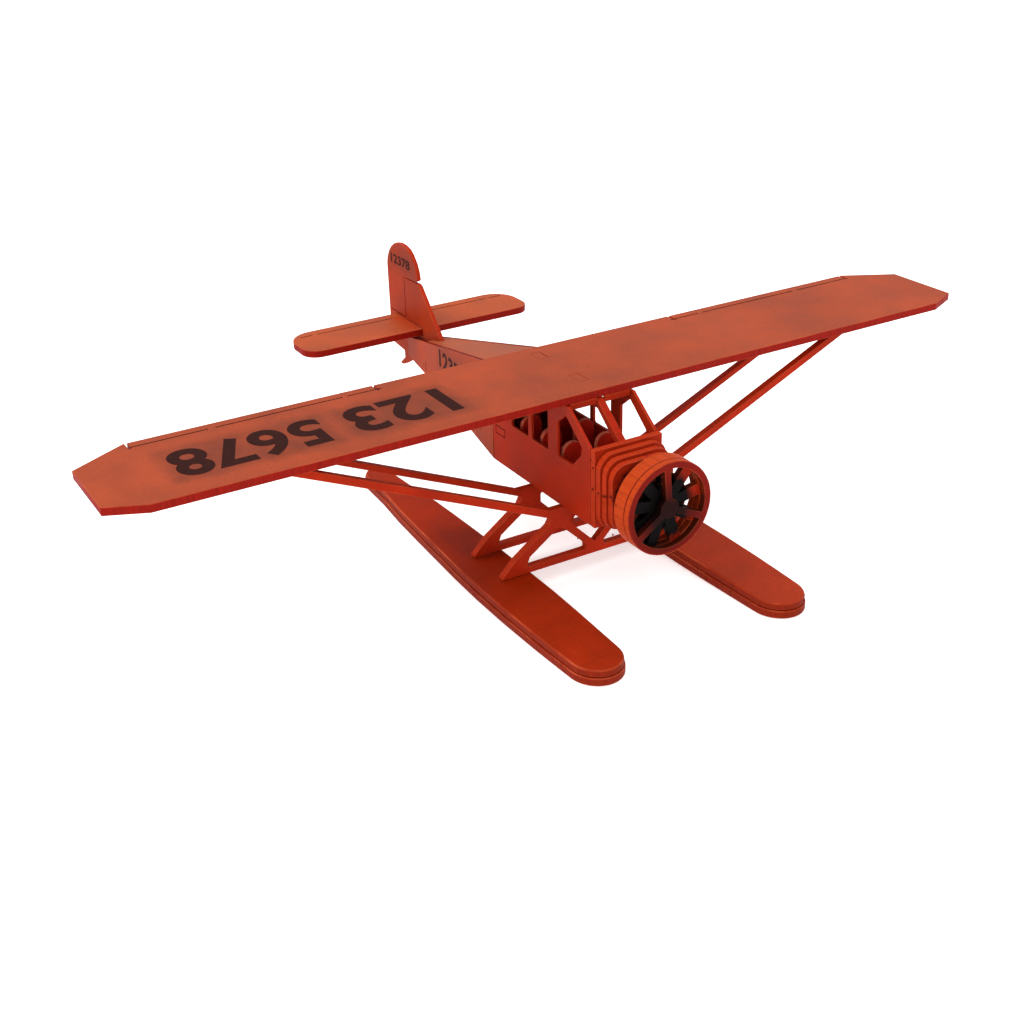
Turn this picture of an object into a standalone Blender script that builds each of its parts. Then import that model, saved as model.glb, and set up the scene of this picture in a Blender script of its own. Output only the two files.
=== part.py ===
"""High-wing floatplane, a small painted kit model cut by laser from flat MDF sheet.

Metres, +Z up. The nose looks towards -Y, +X is the port side, and the origin is on the floor
under the middle of the model's box. Outlines are written in millimetres, from the model's own
datum: the wing's leading edge at its centre line, with heights from the floor.
"""
import math

import bpy
from mathutils import Euler, Vector

MM = 0.001
SHEET = 2.5            # thickness of the MDF sheet that most pieces are cut from
THIN_SHEET = 1.6       # the fin and the seats
SKIN = 1.0             # the fuselage sides
GAP = 0.3              # clearance left between pieces that are glued together

HALF_SPAN = 150.0
CHORD = 41.5
WING_TOP = 62.0
WING_UNDER = WING_TOP - SHEET
TIP_CUT = 11.5         # how far in from the tip the leading edge corner is cut off
TIP_FRONT = 5.3
TIP_REAR = 31.7
TIP_SHOULDER = 133.0   # half-width where the rear tip cut begins
AILERON_CUTS = (55.5, 132.2)
AILERON_LINE = 37.0
CUT_WIDTH = 0.7
TAB_SPANS = ((9.0, 14.4), (31.8, 37.2))

BODY_HALF = 12.1
BODY_FRONT = -12.65
BODY_BOTTOM = 25.0
BULKHEAD_TOP = 50.3
BODY_JOINT = 44.8      # where the front and rear fuselage sides meet
TAIL_END = 124.0
TAPER = 0.12           # inward run of the rear sides for each millimetre aft
DECK_FALL = 0.21
BELLY_RISE = 0.131
ROOF = WING_UNDER - GAP
CABIN_FLOOR = BODY_BOTTOM + SHEET + GAP
CABIN_HALF = BODY_HALF - SKIN - GAP
SLIT_HALF = SHEET / 2 + GAP          # half of a slit that takes the edge of a thick sheet
FIN_SLIT_HALF = THIN_SHEET / 2 + GAP

WINDOW_SILL = 41.2
WINDOW_TOP = 56.2
SEAT_FRONTS = {"seats_front": 5.5, "seats_middle": 17.7, "seats_rear": 29.8}
SEAT_TOP = 44.2
SEAT_CENTRE = 6.1
SEAT_RADIUS = 3.6
SEAT_NOTCH = 4.0       # depth of the notch between the two backs, under their shoulders
SEAT_SLIT_TOP = 32.2
HEADER_DEPTH = 1.5
HEADER_THICKNESS = 1.2
HEADER_FRONT = -0.4

NOSE_CENTRE = 37.1
RING_RADIUS = 14.7
RING_BORE = 12.6
RING_FRONT = -36.0
STAR_ARMS = 9
STAR_ARM_WIDTH = 3.7
STAR_HUB = 5.0
SPOKE_ANGLES = (95, 215, 335)
SPOKE_WIDTH = 2.1
SPOKE_HUB = 3.2
NOSE_BLOCK_RADIUS = 9.4

FLOAT_OFFSET = 33.0
FLOAT_NOSE = -55.5
FLOAT_SHOULDER = -46.5
FLOAT_TAIL = 99.2
FLOAT_LIP = 0.35       # the lower layer stands this far outside the upper one
FLOAT_TOP = 2 * SHEET

STRUT_SLOPE = 0.441
STRUT_ROOT = 16.0      # height where a strut's middle line would meet the centre line
ELBOW_OUT = 16.0       # where the leg leaves the strut
LEG_FOOT_OUT = 34.2
BEAM_DEPTH = 2.2

STAB_HALF = 45.9
STAB_FRONT = 115.2
STAB_REAR = 136.4
STAB_UNDER = 44.6
RUDDER_BACK = 141.4
RUDDER_FOOT = 35.0

CENTRE_Y = (FLOAT_NOSE - FLOAT_LIP + RUDDER_BACK) / 2   # middle of the model's length

PAINT = (0.62, 0.11, 0.035, 1.0)
SHADE = (0.34, 0.05, 0.02, 1.0)
SOOT = (0.02, 0.018, 0.016, 1.0)

QUARTER = math.pi / 2


def clear_scene():
    for thing in list(bpy.data.objects):
        bpy.data.objects.remove(thing, do_unlink=True)


def new_collection(name):
    group = bpy.data.collections.new(name)
    bpy.context.scene.collection.children.link(group)
    return group


def painted(name, colour, roughness):
    material = bpy.data.materials.new(name)
    material.use_nodes = True
    shader = material.node_tree.nodes["Principled BSDF"]
    shader.inputs["Base Color"].default_value = colour
    shader.inputs["Roughness"].default_value = roughness
    shader.inputs["Metallic"].default_value = 0.0
    return material


def arc(centre, radius, start, end, steps):
    """Points along an arc, from start to end in degrees."""
    points = []
    for i in range(steps + 1):
        angle = math.radians(start + (end - start) * i / steps)
        points.append((centre[0] + radius * math.cos(angle), centre[1] + radius * math.sin(angle)))
    return points


def rounded(corners):
    """Closed outline from (x, y) or (x, y, radius) corners, each radius turned into an arc."""
    outline = []
    for i, (x, y, *rest) in enumerate(corners):
        radius = rest[0] if rest else 0
        if radius == 0:
            outline.append((x, y))
            continue
        here = Vector((x, y))
        before = (Vector(corners[i - 1][:2]) - here).normalized()
        after = (Vector(corners[(i + 1) % len(corners)][:2]) - here).normalized()
        half = before.angle(after) / 2
        centre = here + (before + after).normalized() * (radius / math.sin(half))
        first = here + before * (radius / math.tan(half)) - centre
        last = here + after * (radius / math.tan(half)) - centre
        start = math.degrees(math.atan2(first.y, first.x))
        turn = -math.degrees(first.angle_signed(last))
        outline += arc(centre, radius, start, start + turn, 3 + round(radius))
    return outline


def both_halves(right):
    """Closed outline from its half at positive X, which runs from the centre line round to it."""
    return right + [(-x, *rest) for x, *rest in reversed(right) if x > 0]


def sheet(name, outlines, place, turn, material, thickness=SHEET):
    """One flat piece: the first outline is its edge and the others are holes cut through it."""
    curve = bpy.data.curves.new(name, "CURVE")
    curve.dimensions = "2D"
    curve.fill_mode = "BOTH"
    curve.extrude = thickness * MM / 2
    for outline in outlines:
        spline = curve.splines.new("POLY")
        spline.points.add(len(outline) - 1)
        for point, (x, y) in zip(spline.points, outline):
            point.co = (x * MM, y * MM, 0.0, 1.0)
        spline.use_cyclic_u = True
    piece = bpy.data.objects.new(name, curve)
    piece.location = (place[0] * MM, (place[1] - CENTRE_Y) * MM, place[2] * MM)
    piece.rotation_euler = Euler(turn)
    piece.data.materials.append(material)
    MODEL.objects.link(piece)
    return piece


def flat_sheet(name, outlines, middle_z, thickness=SHEET):
    """A piece that lies flat: outlines in X and Y."""
    return sheet(name, outlines, (0, 0, middle_z), (0, 0, 0), PAINTED, thickness)


def side_sheet(name, outlines, middle_x, thickness, yaw=0.0, hinge_y=0.0):
    """A piece that stands along the model: outlines in Y, from hinge_y, and Z."""
    return sheet(name, outlines, (middle_x, hinge_y, 0), (QUARTER, 0, QUARTER + yaw), PAINTED, thickness)


def cross_sheet(name, outlines, front_y, material, thickness=SHEET):
    """A piece that stands across the model: outlines in X and Z, its front face at front_y."""
    return sheet(name, outlines, (0, front_y + thickness / 2, 0), (QUARTER, 0, 0), material, thickness)


def build_wing():
    half = [(HALF_SPAN - TIP_CUT, 0), (HALF_SPAN, TIP_FRONT), (HALF_SPAN, TIP_REAR),
            (TIP_SHOULDER, CHORD)]
    for cut in reversed(AILERON_CUTS):
        outer, inner = cut + CUT_WIDTH / 2, cut - CUT_WIDTH / 2
        half += [(outer, CHORD), (outer, AILERON_LINE), (inner, AILERON_LINE), (inner, CHORD)]
    slots = []
    for start, end in TAB_SPANS:
        slots.append([(-SLIT_HALF, start - GAP), (SLIT_HALF, start - GAP),
                      (SLIT_HALF, end + GAP), (-SLIT_HALF, end + GAP)])
    flat_sheet("wing", [both_halves(half)] + slots, WING_TOP - SHEET / 2)


def deck_height(y):
    return ROOF - DECK_FALL * (y - CHORD)


def belly_height(y):
    return BODY_BOTTOM + BELLY_RISE * max(0.0, y - BODY_JOINT)


def inner_half(y):
    """Half the clear width between the fuselage sides."""
    outer = BODY_HALF - TAPER * max(0.0, y - BODY_JOINT)
    return outer - SKIN / math.cos(math.atan(TAPER)) - GAP


def build_front_sides():
    back = BODY_JOINT - GAP
    edge = [(BODY_FRONT, BODY_BOTTOM), (BODY_FRONT, BULKHEAD_TOP), (-1.0, ROOF), (CHORD, ROOF),
            (back, deck_height(BODY_JOINT)), (back, BODY_BOTTOM)]
    front = [(5.4, WINDOW_SILL, 0.6), (5.4, 52.2, 0.6), (0.5, WINDOW_TOP, 0.5), (-8.2, 48.9, 0.8),
             (-7.7, 46.0, 0.8), (-2.9, WINDOW_SILL, 1.0)]
    middle = [(10.7, WINDOW_SILL, 0.6), (20.5, WINDOW_SILL, 0.6), (20.5, WINDOW_TOP, 0.6),
              (10.7, WINDOW_TOP, 0.6)]
    rear = [(22.4, WINDOW_SILL, 0.6), (32.7, WINDOW_SILL, 0.6), (32.7, 50.0, 0.6),
            (27.0, WINDOW_TOP, 0.6), (22.4, WINDOW_TOP, 0.6)]
    outlines = [edge, rounded(front), rounded(middle), rounded(rear)]
    for side, sign in (("port", 1), ("starboard", -1)):
        side_sheet("side_front_" + side, outlines, sign * (BODY_HALF - SKIN / 2), SKIN)


def build_rear_sides():
    yaw = math.atan(TAPER)
    run = (TAIL_END - BODY_JOINT) / math.cos(yaw)
    tail_foot = belly_height(TAIL_END) - 1.0
    edge = [(0, BODY_BOTTOM), (0, deck_height(BODY_JOINT)), (run, deck_height(TAIL_END)),
            (run, tail_foot), (run * 0.8, BODY_BOTTOM + (tail_foot - BODY_BOTTOM) * 0.86)]
    middle = BODY_HALF - SKIN / 2 / math.cos(yaw)
    for side, sign in (("port", 1), ("starboard", -1)):
        side_sheet("side_rear_" + side, [edge], sign * middle, SKIN, sign * yaw, BODY_JOINT)


def build_deck_and_floors():
    front = [(CABIN_HALF, BODY_FRONT + GAP), (CABIN_HALF, BODY_JOINT - GAP)]
    flat_sheet("floor_front", [both_halves(front)], BODY_BOTTOM + SHEET / 2)

    rise = math.atan(BELLY_RISE)
    start, end = BODY_JOINT + GAP, 112.0
    half = [(inner_half(start), 0), (inner_half(end), (end - start) / math.cos(rise))]
    middle = (0, start - math.sin(rise) * SHEET / 2, belly_height(start) + math.cos(rise) * SHEET / 2)
    sheet("floor_rear", [both_halves(half)], middle, (rise, 0, 0), PAINTED)

    fall = math.atan(DECK_FALL)
    start, fin_root, end = CHORD + 0.9, 100.4, 106.0
    half = [(min(inner_half(start), CABIN_HALF), 0), (inner_half(end), (end - start) / math.cos(fall)),
            (FIN_SLIT_HALF, (end - start) / math.cos(fall)),
            (FIN_SLIT_HALF, (fin_root - start) / math.cos(fall))]
    middle = (0, start - math.sin(fall) * SHEET / 2, deck_height(start) - math.cos(fall) * SHEET / 2)
    sheet("deck_rear", [both_halves(half)], middle, (-fall, 0, 0), PAINTED)


def build_centre_frame():
    """The upright sheet on the cabin's centre line: windscreen bar, roof bar and its tabs."""
    back = 40.0
    edge = [(BODY_FRONT + GAP, CABIN_FLOOR), (back, CABIN_FLOOR), (back, ROOF)]
    for start, end in reversed(TAB_SPANS):
        edge += [(end, ROOF), (end, WING_TOP), (start, WING_TOP), (start, ROOF)]
    edge += [(0.2, ROOF), (BODY_FRONT + GAP, BULKHEAD_TOP - 1.2)]
    opening = [(-9.8, 31.5, 1.0), (36.5, 31.5, 1.0), (36.5, WINDOW_TOP, 1.0), (-0.2, WINDOW_TOP, 1.0),
               (-9.8, 48.2, 1.0)]
    side_sheet("cabin_centre_frame", [edge, rounded(opening)], 0, SHEET)


def build_seats():
    """Cross pieces, each with a pair of round-topped backs and a slit over the centre frame."""
    shoulder = SEAT_TOP - SEAT_RADIUS
    half = [(SLIT_HALF, SEAT_SLIT_TOP), (SLIT_HALF, CABIN_FLOOR),
            (SEAT_CENTRE + SEAT_RADIUS, CABIN_FLOOR)]
    half += arc((SEAT_CENTRE, shoulder), SEAT_RADIUS, 0, 180, 14)
    half.append((SEAT_CENTRE - SEAT_RADIUS, shoulder - SEAT_NOTCH))
    for name, front in SEAT_FRONTS.items():
        cross_sheet(name, [both_halves(half)], front, PAINTED, THIN_SHEET)


def build_screen_headers():
    """The thin bar under the wing's leading edge, in two lengths beside the centre frame."""
    for side, sign in (("port", 1), ("starboard", -1)):
        bar = [(sign * SLIT_HALF, ROOF - HEADER_DEPTH), (sign * CABIN_HALF, ROOF - HEADER_DEPTH),
               (sign * CABIN_HALF, ROOF), (sign * SLIT_HALF, ROOF)]
        cross_sheet("screen_header_" + side, [bar], HEADER_FRONT, PAINTED, HEADER_THICKNESS)


def build_nose():
    # how far each frame's edge stands in at its sides, top and bottom, and its corner radius
    insets = ((0.0, 0.0, 0.0, 0.0), (0.15, 0.9, 0.1, 5.0), (0.6, 1.8, 0.5, 5.0), (1.15, 2.7, 1.0, 5.0))
    for i, (side, top, bottom, radius) in enumerate(insets):
        half = [(BODY_HALF - side, BODY_BOTTOM + bottom, radius),
                (BODY_HALF - side, BULKHEAD_TOP - top, radius)]
        front = BODY_FRONT - (i + 1) * SHEET
        cross_sheet("nose_frame_%d" % (i + 1), [rounded(both_halves(half))], front, PAINTED, SHEET - GAP)
    block_front = RING_FRONT + 2 * SHEET
    block_length = BODY_FRONT - len(insets) * SHEET - block_front - GAP
    disc = arc((0, NOSE_CENTRE), NOSE_BLOCK_RADIUS, 0, 352.5, 47)
    cross_sheet("nose_block", [disc], block_front, SHADED, block_length)


def spoked_holes(angles, arm_width, hub_radius):
    """The openings between straight arms that run from a hub to the cowl ring's bore."""
    holes = []
    outer = math.degrees(math.asin(arm_width / 2 / RING_BORE))
    inner = math.degrees(math.asin(arm_width / 2 / hub_radius))
    for start, end in zip(angles, angles[1:] + [angles[0] + 360]):
        steps = max(2, int((end - start) / 9))
        hole = arc((0, NOSE_CENTRE), RING_BORE, start + outer, end - outer, steps)
        if start + inner < end - inner - 1:
            hole += arc((0, NOSE_CENTRE), hub_radius, end - inner, start + inner, steps)
        else:
            reach = arm_width / 2 / math.sin(math.radians((end - start) / 2))
            hole += arc((0, NOSE_CENTRE), reach, (start + end) / 2, end, 1)[:1]
        holes.append(hole)
    return holes


def build_cowling():
    rim = arc((0, NOSE_CENTRE), RING_RADIUS, 0, 354.375, 63)
    bore = arc((0, NOSE_CENTRE), RING_BORE, 0, 352.5, 47)
    arms = [90 - 360 / STAR_ARMS * i for i in range(STAR_ARMS)][::-1]
    star = spoked_holes(arms, STAR_ARM_WIDTH, STAR_HUB)
    spokes = spoked_holes(list(SPOKE_ANGLES), SPOKE_WIDTH, SPOKE_HUB)
    # name, layers behind the front one, holes, material
    for name, layer, holes, material in (("cowl_ring_front", 0, spokes, PAINTED),
                                         ("engine_star", 1, star, SOOTED),
                                         ("cowl_ring_rear", 2, [bore], PAINTED)):
        cross_sheet(name, [rim] + holes, RING_FRONT + layer * SHEET, material, SHEET - GAP)


def build_trusses():
    """Two pieces, each with a pair of wing struts, their float legs and the beam between the floats."""
    base = FLOAT_TOP + GAP
    beam_top = base + BEAM_DEPTH
    under_body = BODY_BOTTOM - GAP
    bay = [(12.9, 18.5, 1.8), (3.4, 9.2, 0.8), (3.2, beam_top, 0.5), (25.4, beam_top, 0.8),
           (24.2, 10.7, 0.8)]
    other_bay = [(-x, z, radius) for x, z, radius in reversed(bay)]
    middle = both_halves([(0, 9.3, 0.5), (9.2, 18.5, 0.8), (9.2, 21.8, 0.8)])

    # name, front face, width of the struts
    for name, front, width in (("truss_front", 2.6, 2.4), ("truss_rear", 20.1, 1.9)):
        rise = width / 2 / math.cos(math.atan(STRUT_SLOPE))
        over, under = STRUT_ROOT + rise, STRUT_ROOT - rise
        edge = [(0, under_body), ((under_body - over) / STRUT_SLOPE, under_body),
                ((ROOF - over) / STRUT_SLOPE, ROOF), ((ROOF - under) / STRUT_SLOPE, ROOF),
                (ELBOW_OUT, under + STRUT_SLOPE * ELBOW_OUT, 0.8), (17.3, 19.4, 1.0),
                (29.0, 11.1, 1.0), (LEG_FOOT_OUT, base + 0.6), (LEG_FOOT_OUT, base), (0, base)]
        outlines = [both_halves(edge), bay, other_bay, middle]
        cross_sheet(name, [rounded(outline) for outline in outlines], front, PAINTED)


def float_outline(grow):
    """A port float from above: round-nosed, square-sterned and turned in a little towards its stern."""
    # distance aft of the wing's leading edge, half-width, how far its middle lies inboard
    stations = ((FLOAT_SHOULDER, 8.1, 0.0), (-35.0, 8.6, 0.0), (-25.0, 9.0, 0.1), (-10.0, 9.35, 0.25),
                (5.0, 9.3, 0.35), (20.0, 8.95, 0.6), (37.0, 8.3, 1.0), (50.0, 7.75, 1.2),
                (64.0, 7.0, 1.4), (72.0, 6.2, 1.45), (80.0, 5.4, 1.45), (88.0, 4.9, 1.4),
                (96.5, 4.5, 1.4), (FLOAT_TAIL, 2.6, 1.4))
    outer = [(FLOAT_OFFSET - inboard + half + grow, y) for y, half, inboard in stations]
    inner = [(FLOAT_OFFSET - inboard - half - grow, y) for y, half, inboard in reversed(stations)]
    nose_half = stations[0][1] + grow
    nose_length = FLOAT_SHOULDER - FLOAT_NOSE + grow
    nose = [(FLOAT_OFFSET + nose_half * x, FLOAT_SHOULDER + nose_length * y)
            for x, y in arc((0, 0), 1.0, 180, 360, 18)[1:-1]]
    return outer + inner + nose


def build_floats():
    # layer, middle height, growth of the outline, thickness
    layers = (("lower", SHEET / 2, FLOAT_LIP, SHEET), ("upper", (3 * SHEET + GAP) / 2, 0.0, SHEET - GAP))
    for side, sign in (("port", 1), ("starboard", -1)):
        for layer, middle, grow, thickness in layers:
            plan = [(sign * x, y) for x, y in float_outline(grow)]
            flat_sheet("float_%s_%s" % (layer, side), [plan], middle, thickness)


def build_tail():
    half = [(0, STAB_FRONT), (STAB_HALF, STAB_FRONT, 6.0), (STAB_HALF, STAB_REAR, 9.5), (0, STAB_REAR)]
    flat_sheet("stabiliser", [rounded(both_halves(half))], STAB_UNDER + SHEET / 2)

    crown = [(RUDDER_BACK, 65.6), (140.7, 68.2), (139.3, 70.6), (136.8, 73.2), (133.8, 74.9),
             (130.2, 75.6), (126.8, 75.5), (123.5, 74.7), (121.2, 73.1), (118.7, 70.3), (117.4, 67.4),
             (116.9, 64.8)]
    hinge_slit = [(118.4, 64.0), (126.9, 63.6), (126.9, 63.1), (118.2, 63.4)]
    front = [(116.2, 63.3), (115.3, 62.4), (101.7, 47.6), (100.8, 46.3)]
    root = [(101.5, 44.2), (104.0, 37.6), (113.0, 37.4), (114.0, 35.4), (125.4, 33.2), (126.8, 30.9)]
    skid = [(132.0, 28.1), (134.3, 27.5), (134.7, 28.2), (130.9, 31.2), (131.0, 33.9)]
    edge = crown + hinge_slit + front + root + skid + [(RUDDER_BACK, RUDDER_FOOT)]
    slot = [(STAB_FRONT - GAP, STAB_UNDER - GAP), (STAB_REAR + GAP, STAB_UNDER - GAP),
            (STAB_REAR + GAP, STAB_UNDER + SHEET + GAP), (STAB_FRONT - GAP, STAB_UNDER + SHEET + GAP)]
    side_sheet("fin", [edge, slot], 0, THIN_SHEET)


clear_scene()
MODEL = new_collection("floatplane_model")
PAINTED = painted("painted_mdf", PAINT, 0.75)
SHADED = painted("painted_mdf_shaded", SHADE, 0.8)
SOOTED = painted("soot_black_mdf", SOOT, 0.85)

build_wing()
build_front_sides()
build_rear_sides()
build_deck_and_floors()
build_centre_frame()
build_seats()
build_screen_headers()
build_nose()
build_cowling()
build_trusses()
build_floats()
build_tail()
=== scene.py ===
import math

import bmesh
import bpy
from mathutils import Matrix, Vector


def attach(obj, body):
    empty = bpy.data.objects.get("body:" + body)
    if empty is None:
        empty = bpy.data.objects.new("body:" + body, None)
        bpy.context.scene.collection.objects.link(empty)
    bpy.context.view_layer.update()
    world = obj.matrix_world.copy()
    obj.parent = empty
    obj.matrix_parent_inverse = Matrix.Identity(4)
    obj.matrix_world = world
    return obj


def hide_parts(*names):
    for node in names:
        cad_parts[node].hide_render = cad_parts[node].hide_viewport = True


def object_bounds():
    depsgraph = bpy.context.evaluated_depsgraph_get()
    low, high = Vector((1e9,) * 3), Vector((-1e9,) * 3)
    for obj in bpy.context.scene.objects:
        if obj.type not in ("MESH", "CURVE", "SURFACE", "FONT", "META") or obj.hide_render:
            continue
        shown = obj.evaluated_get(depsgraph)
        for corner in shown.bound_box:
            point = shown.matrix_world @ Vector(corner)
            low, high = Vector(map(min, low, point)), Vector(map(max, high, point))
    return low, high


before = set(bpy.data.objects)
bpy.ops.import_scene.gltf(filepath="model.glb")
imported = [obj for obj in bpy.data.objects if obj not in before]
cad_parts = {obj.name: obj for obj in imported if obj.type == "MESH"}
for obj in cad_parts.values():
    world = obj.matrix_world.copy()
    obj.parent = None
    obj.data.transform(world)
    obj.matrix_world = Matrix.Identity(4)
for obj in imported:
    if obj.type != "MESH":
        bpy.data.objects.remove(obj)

cad_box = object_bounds()

# Wing: one sheet of MDF cut by laser and sprayed orange-red. The aileron lines are engraved, so they
# are burnt brown, and the cut edge is darker and redder than the sprayed face. The cabin's centre
# frame is glued into it by two tabs, and paint bridges two sides of each tab's slot.
MM = 0.001
DATUM_Y = -42.775       # the wing's leading edge, in the part's own frame, in millimetres
WING_TOP = 62.0
SHEET = 2.5
AILERON_LINE_Y = 37.9
AILERON_LINES = ((54.4, 65.2), (67.4, 106.8), (109.4, 131.8))
TAB_SLOTS = ((8.7, 14.7), (31.5, 37.5))
SLOT_HALF = 1.55
FILM = 0.04             # how far the bridging paint stands proud of the sheet


def srgb(code):
    """Linear colour from an sRGB hex code."""
    shades = [int(code[i:i + 2], 16) / 255 for i in (0, 2, 4)]
    return [c / 12.92 if c <= 0.04045 else ((c + 0.055) / 1.055) ** 2.4 for c in shades] + [1.0]


def add_node(tree, kind, inputs, **settings):
    """Adds a node; inputs gives each named input a value or the output that feeds it."""
    node = tree.nodes.new(kind)
    for name, value in settings.items():
        setattr(node, name, value)
    for name, value in inputs.items():
        if isinstance(value, bpy.types.NodeSocket):
            tree.links.new(value, node.inputs[name])
        else:
            node.inputs[name].default_value = value
    return node


def sprayed_mdf(name, face, dust_and_sheen, cut, streaks, char="3A0D08", haze=None):
    """Acrylic paint sprayed on laser-cut MDF: matte, faintly mottled and pitted, redder on the cut.

    What faces up is paler and pinker: partly dry spray dust, partly painted sheen where the tops catch
    the light. The eased edges carry a paler painted highlight, in patches, and pooled in the engraved
    lines the paint has the colour given by char.
    """
    material = bpy.data.materials.new(name)
    material.use_nodes = True
    tree = material.node_tree
    surface = tree.nodes["Principled BSDF"]
    place = add_node(tree, "ShaderNodeTexCoord", {}).outputs["Object"]
    facing = add_node(tree, "ShaderNodeSeparateXYZ", {0: add_node(tree, "ShaderNodeNewGeometry", {}).outputs["Normal"]})
    # what faces up is mixed towards a paler, pinker colour: spray dust, and painted sheen where the tops catch the
    # light
    tops_sheen_and_dust = add_node(tree, "ShaderNodeMapRange", {"Value": facing.outputs["Z"], "From Min": 0.3, "From Max": 0.95})
    paint = add_node(tree, "ShaderNodeMix", {0: tops_sheen_and_dust.outputs["Result"], 6: srgb(face), 7: srgb(dust_and_sheen)},
                     data_type="RGBA")

    # patches where the coat is thicker, 10 to 30 mm across
    patches = add_node(tree, "ShaderNodeTexNoise", {"Vector": place, "Scale": 48.0, "Detail": 4.0, "Roughness": 0.62})
    coat = add_node(tree, "ShaderNodeMapRange", {"Value": patches.outputs["Fac"], "From Min": 0.34, "From Max": 0.66,
                                                 "To Min": 0.8, "To Max": 1.08})
    # the coat also drifts over the length of a hand
    drift = add_node(tree, "ShaderNodeTexNoise", {"Vector": place, "Scale": 14.0, "Detail": 2.0})
    shift = add_node(tree, "ShaderNodeMapRange", {"Value": drift.outputs["Fac"], "From Min": 0.35, "From Max": 0.65,
                                                  "To Min": 0.92, "To Max": 1.08})
    # the fibres under the paint, about 0.5 mm, drawn a little coarser than the real ones so they show
    fibres = add_node(tree, "ShaderNodeTexNoise", {"Vector": place, "Scale": 1500.0, "Detail": 3.0, "Roughness": 0.7})
    grain = add_node(tree, "ShaderNodeMapRange", {"Value": fibres.outputs["Fac"], "From Min": 0.3, "From Max": 0.72,
                                                  "To Min": 0.86, "To Max": 1.1})
    even = add_node(tree, "ShaderNodeMath", {0: coat.outputs["Result"], 1: shift.outputs["Result"]}, operation="MULTIPLY")
    depth = add_node(tree, "ShaderNodeMath", {0: even.outputs[0], 1: grain.outputs["Result"]}, operation="MULTIPLY")
    speckled = add_node(tree, "ShaderNodeVectorMath", {0: paint.outputs[2], 1: depth.outputs[0]}, operation="MULTIPLY")

    # pinholes and dust nibs, 0.2 mm across, one every few millimetres
    cells = add_node(tree, "ShaderNodeTexVoronoi", {"Vector": place, "Scale": 260.0})
    chance = add_node(tree, "ShaderNodeSeparateColor", {"Color": cells.outputs["Color"]})
    chosen = add_node(tree, "ShaderNodeMath", {0: chance.outputs["Red"], 1: 0.8}, operation="GREATER_THAN")
    spot = add_node(tree, "ShaderNodeMapRange", {"Value": cells.outputs["Distance"], "From Min": 0.05, "From Max": 0.11,
                                                 "To Min": 1.0, "To Max": 0.0})
    pits = add_node(tree, "ShaderNodeMath", {0: spot.outputs["Result"], 1: chosen.outputs[0]}, operation="MULTIPLY")
    pitted = add_node(tree, "ShaderNodeMix", {0: pits.outputs[0], 6: speckled.outputs[0], 7: srgb("6A2415")},
                      data_type="RGBA")

    # the laser's cut: striations across the sheet's thickness, 0.4 mm apart
    turned = add_node(tree, "ShaderNodeMapping", {"Vector": place, "Scale": streaks})
    stripes = add_node(tree, "ShaderNodeTexNoise", {"Vector": turned.outputs[0], "Scale": 1700.0, "Detail": 2.0})
    lines = add_node(tree, "ShaderNodeMapRange", {"Value": stripes.outputs["Fac"], "From Min": 0.3, "From Max": 0.7,
                                                  "To Min": 0.8, "To Max": 1.1})
    edge = add_node(tree, "ShaderNodeVectorMath", {0: srgb(cut)[:3], 1: lines.outputs["Result"]}, operation="MULTIPLY")
    on_cut = add_node(tree, "ShaderNodeAttribute", {}, attribute_name="laser_cut")
    coated = add_node(tree, "ShaderNodeMix", {0: on_cut.outputs["Fac"], 6: pitted.outputs[2], 7: edge.outputs[0]},
                      data_type="RGBA")
    # painted highlight along the eased edges, in patches, where they catch the light
    painted_edge_highlight = add_node(tree, "ShaderNodeAttribute", {}, attribute_name="painted_edge_highlight")
    highlight_patches = add_node(tree, "ShaderNodeMapRange", {"Value": coat.outputs["Result"], "From Min": 0.9, "From Max": 1.04,
                                                   "To Min": 0.15, "To Max": 0.8})
    highlight_amount = add_node(tree, "ShaderNodeMath", {0: painted_edge_highlight.outputs["Fac"], 1: highlight_patches.outputs["Result"]}, operation="MULTIPLY")
    edged = add_node(tree, "ShaderNodeMix", {0: highlight_amount.outputs[0], 6: coated.outputs[2], 7: srgb("AE4C2E")},
                     data_type="RGBA")
    burn = add_node(tree, "ShaderNodeAttribute", {}, attribute_name="burnt")
    colour = add_node(tree, "ShaderNodeMix", {0: burn.outputs["Fac"], 6: edged.outputs[2], 7: srgb(char)},
                      data_type="RGBA")
    if haze:
        colour = haze(tree, place, colour)
    tree.links.new(colour.outputs[2], surface.inputs["Base Color"])

    sheen = add_node(tree, "ShaderNodeMapRange", {"Value": patches.outputs["Fac"], "From Min": 0.3, "From Max": 0.7,
                                                  "To Min": 0.5, "To Max": 0.62})
    tree.links.new(sheen.outputs["Result"], surface.inputs["Roughness"])
    surface.inputs["Specular IOR Level"].default_value = 0.05
    height = add_node(tree, "ShaderNodeMath", {0: fibres.outputs["Fac"], 1: pits.outputs[0]}, operation="SUBTRACT")
    ridges = add_node(tree, "ShaderNodeMath", {0: stripes.outputs["Fac"], 1: on_cut.outputs["Fac"], 2: height.outputs[0]},
                      operation="MULTIPLY_ADD")
    bump = add_node(tree, "ShaderNodeBump", {"Height": ridges.outputs[0], "Strength": 0.55, "Distance": 0.00012})
    tree.links.new(bump.outputs["Normal"], surface.inputs["Normal"])
    return material


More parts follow.
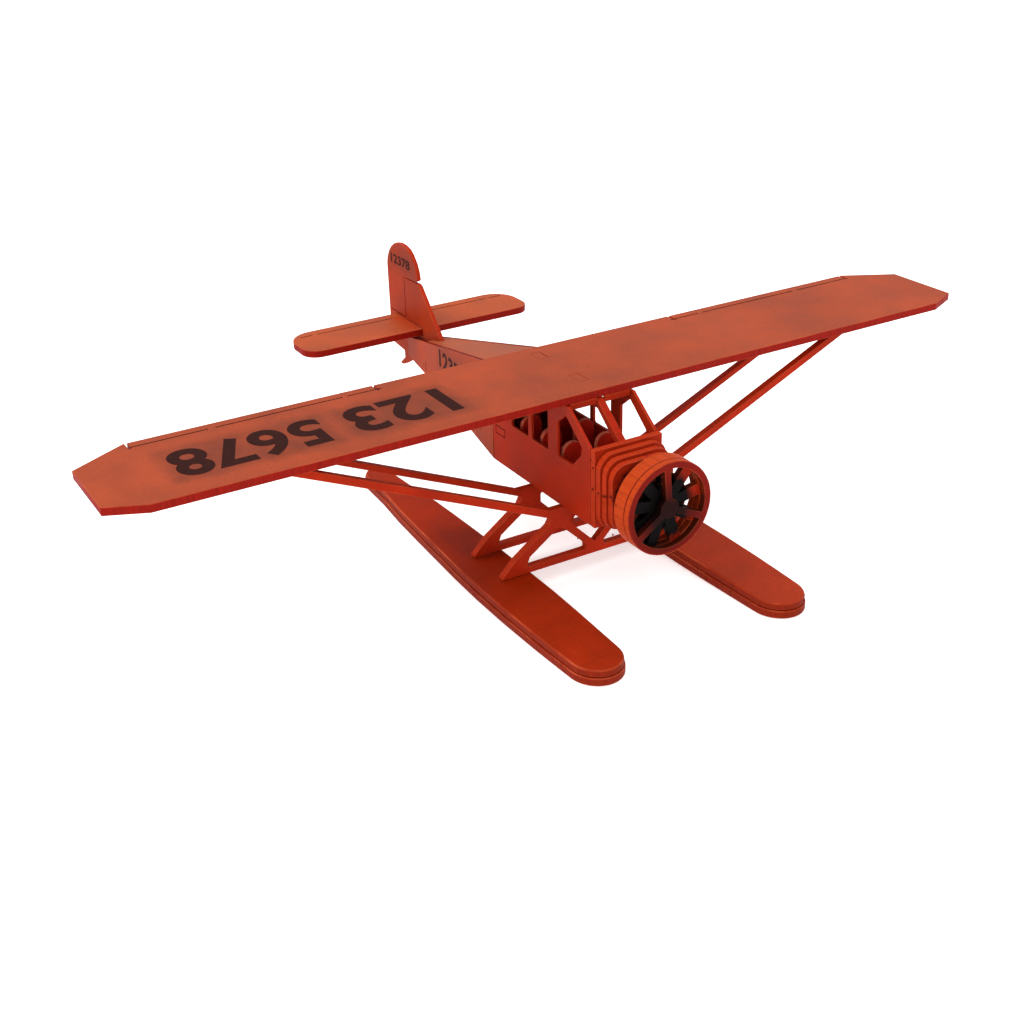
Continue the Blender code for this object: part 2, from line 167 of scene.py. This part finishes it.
def haze_round(*boxes, strength=0.6, shade="4A2418"):
    """Brown laser smoke, or a wetter coat, round each box in millimetres."""
    def haze(tree, place, colour):
        for low, high in boxes:
            low, high = Vector(low), Vector(high)
            middle = ((low + high) / 2 + Vector((0, DATUM_Y, 0))) * MM
            from_middle = add_node(tree, "ShaderNodeVectorMath", {0: place, 1: tuple(middle)}, operation="SUBTRACT")
            folded = add_node(tree, "ShaderNodeVectorMath", {0: from_middle.outputs[0]}, operation="ABSOLUTE")
            beyond = add_node(tree, "ShaderNodeVectorMath", {0: folded.outputs[0], 1: tuple((high - low) / 2 * MM)},
                              operation="SUBTRACT")
            outside = add_node(tree, "ShaderNodeVectorMath", {0: beyond.outputs[0], 1: (0.0, 0.0, 0.0)},
                               operation="MAXIMUM")
            gap = add_node(tree, "ShaderNodeVectorMath", {0: outside.outputs[0]}, operation="LENGTH")
            cloud = add_node(tree, "ShaderNodeTexNoise", {"Vector": place, "Scale": 170.0, "Detail": 3.0})
            reach = add_node(tree, "ShaderNodeMath", {0: cloud.outputs["Fac"], 1: 0.006, 2: gap.outputs["Value"]},
                             operation="MULTIPLY_ADD")
            fade = add_node(tree, "ShaderNodeMapRange", {"Value": reach.outputs[0], "From Min": 0.0015,
                                                         "From Max": 0.0075, "To Min": strength, "To Max": 0.0})
            colour = add_node(tree, "ShaderNodeMix", {0: fade.outputs["Result"], 6: colour.outputs[2], 7: srgb(shade)},
                              data_type="RGBA")
        return colour
    return haze


def groove(start, end, out, width=0.5, depth=0.3):
    """The box that an engraved line cuts, from start to end in millimetres, into the face whose way out is given."""
    a, b, out = Vector(start), Vector(end), Vector(out).normalized()
    along = (b - a).normalized()
    aside = out.cross(along)
    corners = []
    for end_point, reach in ((a, -1), (b, 1)):
        for side in (-1, 1):
            for level in (-depth, depth):
                corner = end_point + along * reach * width / 2 + aside * side * width / 2 + out * level
                corners.append((corner + Vector((0, DATUM_Y, 0))) * MM)
    return corners


def cut_grooves(piece, grooves):
    """Cuts each groove's box out of a piece."""
    work = bmesh.new()
    for corners in grooves:
        bmesh.ops.convex_hull(work, input=[work.verts.new(corner) for corner in corners])
    mesh = bpy.data.meshes.new("grooves")
    work.to_mesh(mesh)
    work.free()
    cutter = bpy.data.objects.new("grooves", mesh)
    bpy.context.scene.collection.objects.link(cutter)
    cut = piece.modifiers.new("engraving", "BOOLEAN")
    cut.operation = "DIFFERENCE"
    cut.solver = "EXACT"
    cut.use_self = True
    cut.object = cutter
    engraved = bpy.data.meshes.new_from_object(piece.evaluated_get(bpy.context.evaluated_depsgraph_get()))
    piece.modifiers.clear()
    piece.data = engraved
    bpy.data.objects.remove(cutter, do_unlink=True)


CUT_SHEETS = []         # every painted sheet, for the burr nubs at the end


def near(corners, point):
    """Whether a point lies in a groove's box, or on its walls."""
    return all(min(c[k] for c in corners) - 1e-5 < point[k] < max(c[k] for c in corners) + 1e-5 for k in range(3))


def eased_copy(node, across, material, ease=0.15, grooves=(), top_ease=None, name=None):
    """A piece in place of a packed sheet, with its sharp edges eased and its laser-cut walls marked."""
    work = bmesh.new()
    work.from_mesh(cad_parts[node].data)
    bmesh.ops.remove_doubles(work, verts=work.verts, dist=1e-6)
    bmesh.ops.dissolve_limit(work, angle_limit=math.radians(0.4), verts=work.verts, edges=work.edges)
    sharp = [e for e in work.edges if len(e.link_faces) == 2 and e.calc_face_angle() > math.radians(28)]
    if top_ease:
        top = max(v.co.z for v in work.verts) - 1e-5
        rim = [e for e in sharp if all(v.co.z > top for v in e.verts)]
        bmesh.ops.bevel(work, geom=rim, offset=top_ease * MM, segments=4, profile=0.5, affect="EDGES")
        sharp = [e for e in work.edges if e.is_valid and len(e.link_faces) == 2
                 and e.calc_face_angle() > math.radians(50)]
    bmesh.ops.bevel(work, geom=sharp, offset=ease * MM, segments=2, profile=0.5, affect="EDGES")
    mesh = bpy.data.meshes.new(name or node + "_painted")
    work.to_mesh(mesh)
    work.free()
    piece = bpy.data.objects.new(mesh.name, mesh)
    bpy.context.scene.collection.objects.link(piece)
    if grooves:
        cut_grooves(piece, grooves)
    mesh = piece.data
    flat = Vector(across).normalized()
    mesh.set_sharp_from_angle(angle=math.radians(20))
    marks = {"laser_cut": [], "burnt": [], "painted_edge_highlight": []}
    for face in mesh.polygons:
        lean = abs(face.normal.dot(flat))
        face.use_smooth = lean < 0.95
        marks["laser_cut"].append(1.0 if lean < 0.35 else 0.35 if lean < 0.95 else 0.0)
        marks["burnt"].append(1.0 if any(near(box, face.center) for box in grooves) else 0.0)
        # the eased edges between face and cut carry the painted highlight
        marks["painted_edge_highlight"].append(1.0 if 0.35 <= lean < 0.95 else 0.0)
    for mark, values in marks.items():
        mesh.attributes.new(mark, "FLOAT", "FACE").data.foreach_set("value", values)
    mesh.materials.clear()
    mesh.materials.append(material)
    CUT_SHEETS.append(piece)
    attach(piece, "root")
    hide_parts(node)
    return piece


LAID_FLAT = (1.0, 1.0, 0.06)       # striations run up through a sheet that lies flat
# characters of each burnt marking, with its starboard, port, front and rear edges on the wing
DIGITS = (("123", -73.4, -40.7, 9.9, 28.7), ("5678", -126.3, -80.9, 9.9, 28.7))
SMOKE = haze_round(*(((left, front, WING_TOP - 9), (right, rear, WING_TOP + 9)) for _, left, right, front, rear in DIGITS))
WING_PAINT = sprayed_mdf("orange_red_paint_on_wing_mdf", "9A2C14", "963E22", "86150B", LAID_FLAT, haze=SMOKE)
FLAT_PAINT = sprayed_mdf("orange_red_paint_on_flat_mdf", "9A2C14", "953E24", "96180A", LAID_FLAT, char="5E140A")
wing_lines = []
for start, end in AILERON_LINES:
    for side in (-1, 1):
        wing_lines.append(groove((side * start, AILERON_LINE_Y, WING_TOP), (side * end, AILERON_LINE_Y, WING_TOP), (0, 0, 1)))
eased_copy("wing", (0, 0, 1), WING_PAINT, grooves=wing_lines)

# the film of paint over each tab leaves open the slot's rear end and port side
films = bmesh.new()
for front, rear in TAB_SLOTS:
    outline = ((-SLOT_HALF - 0.25, front - 0.25), (SLOT_HALF - 0.36, front - 0.25), (SLOT_HALF - 0.36, rear - 0.38),
               (-SLOT_HALF - 0.25, rear - 0.38))
    tops = [films.verts.new(Vector((x, y + DATUM_Y, WING_TOP + FILM)) * MM) for x, y in outline]
    feet = [films.verts.new(Vector((x, y + DATUM_Y, WING_TOP - 0.6)) * MM) for x, y in outline]
    films.faces.new(tops)
    films.faces.new(feet[::-1])
    for i in range(4):
        films.faces.new((feet[i], feet[(i + 1) % 4], tops[(i + 1) % 4], tops[i]))
film_mesh = bpy.data.meshes.new("paint_over_tabs")
films.to_mesh(film_mesh)
films.free()
film_mesh.materials.append(WING_PAINT)
film = bpy.data.objects.new("paint_over_tabs", film_mesh)
bpy.context.scene.collection.objects.link(film)
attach(film, "root")


# Fuselage: two slab sides in two lengths each, with a deck, floors, seat pieces and an upright centre
# frame between them. Door, step and panel lines are engraved on both sides.
ON_EDGE_LENGTHWAYS = (0.06, 1.0, 1.0)
ON_EDGE_CROSSWAYS = (1.0, 0.06, 1.0)
SIDE_PAINT = sprayed_mdf("orange_red_paint_on_side_mdf", "9A2206", "953E22", "9A200A", ON_EDGE_LENGTHWAYS, "5E140A")
CROSS_PAINT = sprayed_mdf("orange_red_paint_on_cross_mdf", "A0240A", "943A20", "A02A0A", ON_EDGE_CROSSWAYS)
REAR_SIDE_PAINT = sprayed_mdf("dusty_paint_on_rear_side_mdf", "903216", "953E22", "5C1006", ON_EDGE_LENGTHWAYS, "5E140A",
                              haze_round(((-14, 58, 41.4), (14, 91, 48)), strength=0.35))
BODY_HALF = 12.1
# start and end of each line, as (distance aft, height)
SIDE_LINES = (((37.0, 35.3), (42.7, 35.3)), ((42.7, 35.3), (42.7, 37.9)), ((42.7, 37.9), (37.0, 37.9)),
              ((37.0, 37.9), (37.0, 35.3)), ((35.2, 41.9), (35.9, 41.9)))
REAR_SIDE_LINES = (((55.0, 31.6), (55.4, 31.6)), ((105.75, 37.9), (105.75, 35.2)), ((105.75, 35.2), (104.9, 34.9)))
TAPER = 0.12
HEADER_TOP = 59.0 * MM
for side, sign in (("port", 1), ("starboard", -1)):
    lines = [groove((sign * BODY_HALF, *a), (sign * BODY_HALF, *b), (sign, 0, 0), 0.35, 0.25) for a, b in SIDE_LINES]
    eased_copy("side_front_" + side, (1, 0, 0), SIDE_PAINT, grooves=lines)
    lines = []
    for ends in REAR_SIDE_LINES:
        a, b = ((sign * (BODY_HALF - TAPER * (y - 44.8)), y, z) for y, z in ends)
        lines.append(groove(a, b, (sign, TAPER, 0), 0.35, 0.25))
    eased_copy("side_rear_" + side, (1, sign * TAPER, 0), REAR_SIDE_PAINT, grooves=lines)
    header = eased_copy("screen_header_" + side, (0, 1, 0), CROSS_PAINT, 0.12)
    # glued up against the wing, with no light between them
    for v in header.data.vertices:
        if v.co.z > HEADER_TOP:
            v.co.z += 0.4 * MM
eased_copy("cabin_centre_frame", (1, 0, 0), SIDE_PAINT)
# the deck's tops are paler: spray dust, and painted sheen where they catch the light
DECK_PAINT = sprayed_mdf("sheened_dusty_paint_on_deck_mdf", "983418", "944426", "98200C", LAID_FLAT)
eased_copy("deck_rear", (0, 0.2055, 0.9787), DECK_PAINT)
eased_copy("floor_front", (0, 0, 1), FLAT_PAINT)
eased_copy("floor_rear", (0, 0.13, -0.99), FLAT_PAINT)
SEAT_PAINT = sprayed_mdf("red_paint_on_seat_mdf", "A81C0C", "A83A2A", "C0604A", ON_EDGE_CROSSWAYS)
for seats in ("seats_front", "seats_middle", "seats_rear"):
    eased_copy(seats, (0, 1, 0), SEAT_PAINT, 0.12)


# Nose: four cross sheets glued face to face, each smaller than the one behind it, and a turned block
# in front. Black paint, sprayed at the engine from the front, has reached the block and the last sheet.
# The block's dark brown is painted shade, as it sits in the recess behind the cowl.
NOSE_CENTRE = Vector((0, 0, 37.1))


def black_overspray_and_shade(*coats):
    """Black paint sprayed at the engine, which also stands in as painted shade inside the cowl. Each coat fades out
    between two distances from a line aside of the axis.

    A coat is (inner, outer, strength, aside), and one that went on the walls alone has a fifth value of 1.
    """
    def spray(tree, place, colour):
        walls = add_node(tree, "ShaderNodeAttribute", {}, attribute_name="laser_cut")
        cloud = add_node(tree, "ShaderNodeTexNoise", {"Vector": place, "Scale": 260.0, "Detail": 4.0})
        round_axis = from_nose_axis(tree, place, (0, 0, 0))
        # none of it reached the outside of the rim
        inside = add_node(tree, "ShaderNodeMapRange", {"Value": round_axis, "From Min": 13.9 * MM, "From Max": 14.4 * MM,
                                                       "To Min": 1.0, "To Max": 0.0})
        for inner, outer, strength, aside, *walls_only in coats:
            # the cloud adds 0 to 5 mm, so 2.5 mm in the middle
            reach = add_node(tree, "ShaderNodeMath", {0: cloud.outputs["Fac"], 1: 0.005,
                                                      2: from_nose_axis(tree, place, aside)}, operation="MULTIPLY_ADD")
            fade = add_node(tree, "ShaderNodeMapRange", {
                "Value": reach.outputs[0], "From Min": (inner + 2.5) * MM, "From Max": (outer + 2.5) * MM,
                "To Min": strength, "To Max": 0.0})
            amount = add_node(tree, "ShaderNodeMath", {0: fade.outputs["Result"], 1: inside.outputs["Result"]},
                              operation="MULTIPLY")
            if walls_only:
                amount = add_node(tree, "ShaderNodeMath", {0: amount.outputs[0], 1: walls.outputs["Fac"]},
                                  operation="MULTIPLY")
            colour = add_node(tree, "ShaderNodeMix", {0: amount.outputs[0], 6: colour.outputs[2], 7: srgb("060303")},
                              data_type="RGBA")
        return colour
    return spray


def from_nose_axis(tree, place, aside):
    """Distance from the engine's axis, in metres, or from a line beside it."""
    level = add_node(tree, "ShaderNodeVectorMath", {0: place, 1: tuple((NOSE_CENTRE + Vector(aside)) * MM)},
                     operation="SUBTRACT")
    flat = add_node(tree, "ShaderNodeVectorMath", {0: level.outputs[0], 1: (1.0, 0.0, 1.0)}, operation="MULTIPLY")
    return add_node(tree, "ShaderNodeVectorMath", {0: flat.outputs[0]}, operation="LENGTH").outputs["Value"]


ON_AXIS = (0, 0, 0)
SOOTY_PAINT = sprayed_mdf("sooty_paint_on_cross_mdf", "A0240A", "943A20", "A02A0A", ON_EDGE_CROSSWAYS,
                          haze=black_overspray_and_shade((8.5, 11.0, 0.96, ON_AXIS)))
for i in range(1, 5):
    eased_copy("nose_frame_%d" % i, (0, 1, 0), CROSS_PAINT if i < 4 else SOOTY_PAINT)
# dark brown block: painted shade, as it sits in the recess behind the cowl
RECESS_SHADE_PAINT = sprayed_mdf("shaded_paint_on_turned_mdf", "703020", "744030", "5C2018", ON_EDGE_CROSSWAYS,
                         haze=black_overspray_and_shade((7.0, 9.3, 0.98, ON_AXIS)))
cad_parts["nose_block"].data.materials.clear()
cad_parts["nose_block"].data.materials.append(RECESS_SHADE_PAINT)


# Engine and cowl: three rings cut from sheet. The middle one holds the cylinders as nine arms, and
# black paint was sprayed over them from the front, so the front ring's spokes are sooty near the hub.
# The black on the bore walls and to the star's left is also painted shade inside the cowl, and the
# front ring's face is darker as painted shade.
# the front ring's face colour is darker than the other rings: painted shade on a face turned from the light, under the
# soot
RING_FACE = sprayed_mdf("sooty_and_shaded_cowl_face", "741006", "741C0E", "A6360C", ON_EDGE_CROSSWAYS,
                        haze=black_overspray_and_shade((5.0, 14.5, 0.94, (0, 0, -3)), (12.9, 14.9, 0.8, (-0.5, 0, -1), 1)))
# the star's black reaches further to the left and down: black paint, and painted shade from the ring
STAR_FACE = sprayed_mdf("black_sprayed_and_shaded_cylinders", "96200C", "902814", "A6360C", ON_EDGE_CROSSWAYS,
                        haze=black_overspray_and_shade((11.0, 14.5, 1.0, (-3, 0, -1)), (12.9, 14.9, 0.6, (-0.5, 0, -1), 1)))
# the black on the bore walls is overspray and painted shade inside the cowl
RING_BACK = sprayed_mdf("cowl_ring_paint", "A6360C", "A04020", "A6360C", ON_EDGE_CROSSWAYS,
                        haze=black_overspray_and_shade((12.9, 13.6, 0.5, ON_AXIS, 1)))
eased_copy("cowl_ring_front", (0, 1, 0), RING_FACE, 0.2)
star = eased_copy("engine_star", (0, 1, 0), STAR_FACE, 0.2)
eased_copy("cowl_ring_rear", (0, 1, 0), RING_BACK, 0.2)

# paint has closed the joint behind the star, so the rim shows only the one behind the front ring
RING_RADIUS = 14.7
JOINT_FRONT, JOINT_REAR = -31.6, -30.7
HOOP_STEPS = 96
profile = ((RING_RADIUS - 0.8, JOINT_FRONT + 0.25), (RING_RADIUS - 0.02, JOINT_FRONT), (RING_RADIUS - 0.02, JOINT_REAR),
           (RING_RADIUS - 0.8, JOINT_REAR - 0.25))
hoop = bmesh.new()
turns = []
for i in range(HOOP_STEPS):
    angle = 2 * math.pi * i / HOOP_STEPS
    turns.append([hoop.verts.new((Vector((radius * math.cos(angle), y + DATUM_Y, radius * math.sin(angle))) + NOSE_CENTRE) * MM)
                  for radius, y in profile])
for i, turn in enumerate(turns):
    following = turns[(i + 1) % HOOP_STEPS]
    for k in range(4):
        hoop.faces.new((turn[k], turn[(k + 1) % 4], following[(k + 1) % 4], following[k]))
bmesh.ops.recalc_face_normals(hoop, faces=hoop.faces)
hoop_mesh = bpy.data.meshes.new("paint_over_ring_joint")
hoop.to_mesh(hoop_mesh)
hoop.free()
hoop_mesh.attributes.new("laser_cut", "FLOAT", "FACE").data.foreach_set("value", [1.0] * len(hoop_mesh.polygons))
hoop_mesh.polygons.foreach_set("use_smooth", [True] * len(hoop_mesh.polygons))
hoop_mesh.set_sharp_from_angle(angle=math.radians(30))
hoop_mesh.materials.append(RING_BACK)
joint_paint = bpy.data.objects.new("paint_over_ring_joint", hoop_mesh)
bpy.context.scene.collection.objects.link(joint_paint)
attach(joint_paint, "root")


# Trusses: wing struts, float legs and cross beam of each truss in one sheet.
for truss in ("truss_front", "truss_rear"):
    eased_copy(truss, (0, 1, 0), CROSS_PAINT, 0.12)


# Floats: two layers of sheet glued together, the upper one sanded round along its top edge.
STARBOARD_FLOAT_PAINT = sprayed_mdf("red_paint_on_starboard_float", "8A1E08", "912404", "7A1E08", LAID_FLAT,
                                    haze=haze_round(((-34.5, 26, 2), (-31, 41, 9)), ((-27.5, 34, 2), (-24, 38, 9)),
                                                    strength=0.4, shade="5A1408"))
PORT_FLOAT_PAINT = sprayed_mdf("red_paint_on_port_float", "8A1E08", "982E12", "7A1E08", LAID_FLAT)
for side, paint in (("port", PORT_FLOAT_PAINT), ("starboard", STARBOARD_FLOAT_PAINT)):
    eased_copy("float_upper_" + side, (0, 0, 1), paint, 0.2, top_ease=0.8)
    eased_copy("float_lower_" + side, (0, 0, 1), paint, 0.3)


# Tail: the stabiliser runs through a slot in the fin, which is one sheet with the rudder, tail post
# and skid. The hinge line, trim tab and elevator lines are engraved.
STAB_TOP = 47.1
ELEVATOR_Y = 131.9
FIN_HALF = 0.8
HINGE_Y = 127.8
RUDDER_FOOT_Z = 48.1
# start and end of each line, as (distance aft, height)
FIN_LINES = (((HINGE_Y, 63.5), (HINGE_Y, RUDDER_FOOT_Z)), ((HINGE_Y, RUDDER_FOOT_Z), (140.3, RUDDER_FOOT_Z)))
TAIL_JOINT = ((-3, 119, 43), (3, 131, 50))
FIN_PAINT = sprayed_mdf("orange_red_paint_on_fin_mdf", "8E2A0E", "953E22", "A02A10", ON_EDGE_LENGTHWAYS, "5E140A",
                        haze_round(((-2, 122.6, 66.8), (2, 137.8, 70.5)), strength=0.4))
fin_lines = []
for sign in (-1, 1):
    for a, b in FIN_LINES:
        fin_lines.append(groove((sign * FIN_HALF, *a), (sign * FIN_HALF, *b), (sign, 0, 0), 0.35, 0.2))
eased_copy("fin", (1, 0, 0), FIN_PAINT, grooves=fin_lines)
stab_lines = []
for start, end in ((4.9, 34.8), (37.3, 41.5)):
    for side in (-1, 1):
        stab_lines.append(groove((side * start, ELEVATOR_Y, STAB_TOP), (side * end, ELEVATOR_Y, STAB_TOP), (0, 0, 1)))
# the stabiliser's top is paler: spray dust, and painted sheen where it catches the light
STAB_PAINT = sprayed_mdf("sheened_dusty_paint_on_stabiliser_mdf", "9C2E14", "9E4524", "7E1006", LAID_FLAT, "5E140A",
                         haze_round(TAIL_JOINT, strength=0.85, shade="A02C0C"))
eased_copy("stabiliser", (0, 0, 1), STAB_PAINT, grooves=stab_lines)


# Marking: plain digits burnt into the wing, the fin and the rear sides by the laser. They are dark
# brown, with a haze of smoke round them.
CHAR_BROWN = bpy.data.materials.new("laser_burnt_digits")
CHAR_BROWN.use_nodes = True
char = CHAR_BROWN.node_tree
grit = add_node(char, "ShaderNodeTexNoise", {"Vector": add_node(char, "ShaderNodeTexCoord", {}).outputs["Object"],
                                             "Scale": 900.0, "Detail": 3.0})
tone = add_node(char, "ShaderNodeMix", {0: grit.outputs["Fac"], 6: srgb("1C0705"), 7: srgb("38150F")}, data_type="RGBA")
char.links.new(tone.outputs[2], char.nodes["Principled BSDF"].inputs["Base Color"])
char.nodes["Principled BSDF"].inputs["Roughness"].default_value = 0.75
char.nodes["Principled BSDF"].inputs["Specular IOR Level"].default_value = 0.05
DIGIT_SINK, DIGIT_RISE = 0.05, 0.03


def burnt_digits(name, words, corner, along, up, out):
    """Bold plain digits on a face: they start at corner, and along and up give their length and height."""
    curve = bpy.data.curves.new(name, "FONT")
    curve.body = words
    curve.size = 1.0
    curve.offset = 0.03
    curve.extrude = 0.01
    curve.space_character = 1.04
    holder = bpy.data.objects.new(name, curve)
    bpy.context.scene.collection.objects.link(holder)
    mesh = bpy.data.meshes.new_from_object(holder.evaluated_get(bpy.context.evaluated_depsgraph_get()))
    bpy.data.objects.remove(holder, do_unlink=True)
    low = [min(v.co[k] for v in mesh.vertices) for k in range(3)]
    high = [max(v.co[k] for v in mesh.vertices) for k in range(3)]
    corner, along, up, out = (Vector(way) for way in (corner, along, up, out))
    for v in mesh.vertices:
        right, rise, level = ((v.co[k] - low[k]) / (high[k] - low[k]) for k in range(3))
        height = out.normalized() * (level * (DIGIT_SINK + DIGIT_RISE) - DIGIT_SINK)
        v.co = (corner + along * right + up * rise + height + Vector((0, DATUM_Y, 0))) * MM
    mesh.materials.clear()
    mesh.materials.append(CHAR_BROWN)
    digits = bpy.data.objects.new(name, mesh)
    bpy.context.scene.collection.objects.link(digits)
    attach(digits, "root")


for words, left, right, front, rear in DIGITS:
    burnt_digits("wing_digits_" + words, words, (right, rear, WING_TOP), (left - right, 0, 0), (0, front - rear, 0), (0, 0, 1))
# aft and forward ends, foot and height of the digits on each side of the fin and of the rear fuselage
for name, words, aft, fore, foot, height, half, taper in (
        ("fin_digits_", "12378", 137.8, 122.6, 66.9, 3.6, FIN_HALF, 0.0),
        ("body_digits_", "1235678", 91.7, 58.0, 41.4, 6.6, BODY_HALF, TAPER)):
    for side, sign in (("port", 1), ("starboard", -1)):
        start, end = (fore, aft) if sign > 0 else (aft, fore)
        corner, reach = ((sign * (half - taper * (y - 44.8)), y, foot) for y in (start, end))
        burnt_digits(name + side, words, corner, Vector(reach) - Vector(corner), (0, 0, height), (sign, taper, 0))


# Burr nubs: beads of char and paint, 0.3 to 0.7 mm across, left where the laser paused along the cut
# edges and where each piece was broken out of its sheet.
BURR_PAINT = sprayed_mdf("paint_on_char_beads", "6A1408", "743020", "6A1408", LAID_FLAT)
tree = bpy.data.node_groups.new("burr_nubs", "GeometryNodeTree")
tree.interface.new_socket("Geometry", in_out="INPUT", socket_type="NodeSocketGeometry")
inputs = {}
for name, kind in (("Nubs per square metre", "NodeSocketFloat"), ("Smallest", "NodeSocketFloat"),
                   ("Largest", "NodeSocketFloat"), ("Seed", "NodeSocketInt")):
    inputs[name] = tree.interface.new_socket(name, in_out="INPUT", socket_type=kind).identifier
tree.interface.new_socket("Geometry", in_out="OUTPUT", socket_type="NodeSocketGeometry")
given = add_node(tree, "NodeGroupInput", {})
spots = add_node(tree, "GeometryNodeDistributePointsOnFaces", {
    "Mesh": given.outputs["Geometry"], "Density": given.outputs["Nubs per square metre"], "Seed": given.outputs["Seed"]})
bead = add_node(tree, "GeometryNodeMeshIcoSphere", {"Radius": 1.0, "Subdivisions": 2})
sizes = add_node(tree, "FunctionNodeRandomValue", {2: given.outputs["Smallest"], 3: given.outputs["Largest"],
                                                   "Seed": given.outputs["Seed"]})
beads = add_node(tree, "GeometryNodeInstanceOnPoints", {
    "Points": spots.outputs["Points"], "Instance": bead.outputs["Mesh"], "Scale": sizes.outputs[1]})
real = add_node(tree, "GeometryNodeRealizeInstances", {"Geometry": beads.outputs["Instances"]})
painted = add_node(tree, "GeometryNodeSetMaterial", {"Geometry": real.outputs["Geometry"], "Material": BURR_PAINT})
result = add_node(tree, "NodeGroupOutput", {"Geometry": painted.outputs["Geometry"]})

cut_points, cut_faces = [], []
low, high = (Vector(corner) for corner in cad_box)
for piece in CUT_SHEETS:
    cuts = piece.data.attributes["laser_cut"].data
    first = len(cut_points)
    cut_points += [v.co.copy() for v in piece.data.vertices]
    for face in piece.data.polygons:
        clear = all(low[k] + 0.0006 < face.center[k] < high[k] - 0.0006 for k in range(3))
        if cuts[face.index].value == 1.0 and clear:
            cut_faces.append([first + i for i in face.vertices])
cut_walls = bpy.data.meshes.new("cut_walls")
cut_walls.from_pydata(cut_points, [], cut_faces)
grower = bpy.data.objects.new("burr_nubs", cut_walls)
bpy.context.scene.collection.objects.link(grower)
growth = grower.modifiers.new("nubs", "NODES")
growth.node_group = tree
for name, value in (("Nubs per square metre", 16000.0), ("Smallest", 0.00012), ("Largest", 0.00032), ("Seed", 7)):
    growth[inputs[name]] = value
nub_mesh = bpy.data.meshes.new_from_object(grower.evaluated_get(bpy.context.evaluated_depsgraph_get()))
grower.modifiers.clear()
grower.data = nub_mesh

# the ones that show: a scar across the nose frames, and a bead at each float's nose, as (place, radius)
BEADS = (((-12.2, -14.2, 44.7), 0.3), ((-12.15, -14.3, 37.9), 0.45), ((-11.95, -16.9, 37.6), 0.45),
         ((-11.7, -19.0, 37.3), 0.4), ((-11.55, -20.2, 37.6), 0.45), ((-11.1, -22.0, 38.2), 0.5),
         ((-11.0, -22.9, 37.4), 0.4), ((-32.4, -54.9, 3.6), 0.5), ((32.4, -54.9, 3.6), 0.5), ((-11.0, -23.2, 26.2), 0.3))
work = bmesh.new()
work.from_mesh(nub_mesh)
for place, radius in BEADS:
    place = (Vector(place) + Vector((0, DATUM_Y, 0))) * MM
    bmesh.ops.create_icosphere(work, subdivisions=2, radius=radius * MM, matrix=Matrix.Translation(place))
work.to_mesh(nub_mesh)
work.free()
nub_mesh.materials.clear()
nub_mesh.materials.append(BURR_PAINT)
nub_mesh.polygons.foreach_set("material_index", [0] * len(nub_mesh.polygons))
nub_mesh.polygons.foreach_set("use_smooth", [True] * len(nub_mesh.polygons))
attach(grower, "root")


# Studio: a plain pale floor that glows faintly, as over a light table, in a white tent. A broad soft
# light hangs overhead, with a weaker one at the left.
studio_floor = bpy.data.meshes.new("studio_floor")
studio_floor.from_pydata([(-6, -6, -0.0002), (6, -6, -0.0002), (6, 6, -0.0002), (-6, 6, -0.0002)], [], [(0, 1, 2, 3)])
floor = bpy.data.objects.new("studio_floor", studio_floor)
bpy.context.scene.collection.objects.link(floor)
pale = bpy.data.materials.new("pale_floor")
pale.use_nodes = True
pale.node_tree.nodes["Principled BSDF"].inputs["Base Color"].default_value = srgb("E4E4E3")
pale.node_tree.nodes["Principled BSDF"].inputs["Roughness"].default_value = 0.9
pale.node_tree.nodes["Principled BSDF"].inputs["Emission Color"].default_value = (1.0, 1.0, 1.0, 1.0)
pale.node_tree.nodes["Principled BSDF"].inputs["Emission Strength"].default_value = 0.5
studio_floor.materials.append(pale)

world = bpy.data.worlds.new("studio")
bpy.context.scene.world = world
world.use_nodes = True
world.node_tree.nodes["Background"].inputs["Color"].default_value = (1.0, 1.0, 1.0, 1.0)
world.node_tree.nodes["Background"].inputs["Strength"].default_value = 1.2
# name, direction it comes from, spread in degrees, strength
for name, source, spread, power in (("overhead", (-0.35, 0.2, 0.9), 60, 1.4), ("left", (-0.8, -0.35, 0.45), 60, 0.4)):
    lamp = bpy.data.lights.new(name, "SUN")
    lamp.energy = power
    lamp.angle = math.radians(spread)
    light = bpy.data.objects.new(name, lamp)
    light.rotation_mode = "QUATERNION"
    light.rotation_quaternion = Vector(source).to_track_quat("Z", "Y")
    bpy.context.scene.collection.objects.link(light)

azimuth, elevation, roll = (math.radians(a) for a in (-30.10, 27.03, -1.56))
back = Vector((math.sin(azimuth) * math.cos(elevation), -math.cos(azimuth) * math.cos(elevation), math.sin(elevation)))
right = Vector((math.cos(azimuth), math.sin(azimuth), 0))
up = back.cross(right)
turned_right = math.cos(roll) * right + math.sin(roll) * up
turned_up = -math.sin(roll) * right + math.cos(roll) * up
lens = bpy.data.cameras.new("camera")
lens.lens = 50.22
lens.sensor_width = 36.0
lens.clip_start = 0.01
camera = bpy.data.objects.new("camera", lens)
bpy.context.scene.collection.objects.link(camera)
camera.matrix_world = Matrix.Translation((-0.22278, -0.37243, 0.22408)) @ Matrix((turned_right, turned_up, back)).transposed().to_4x4()
bpy.context.scene.camera = camera
bpy.context.scene.view_settings.view_transform = "Standard"
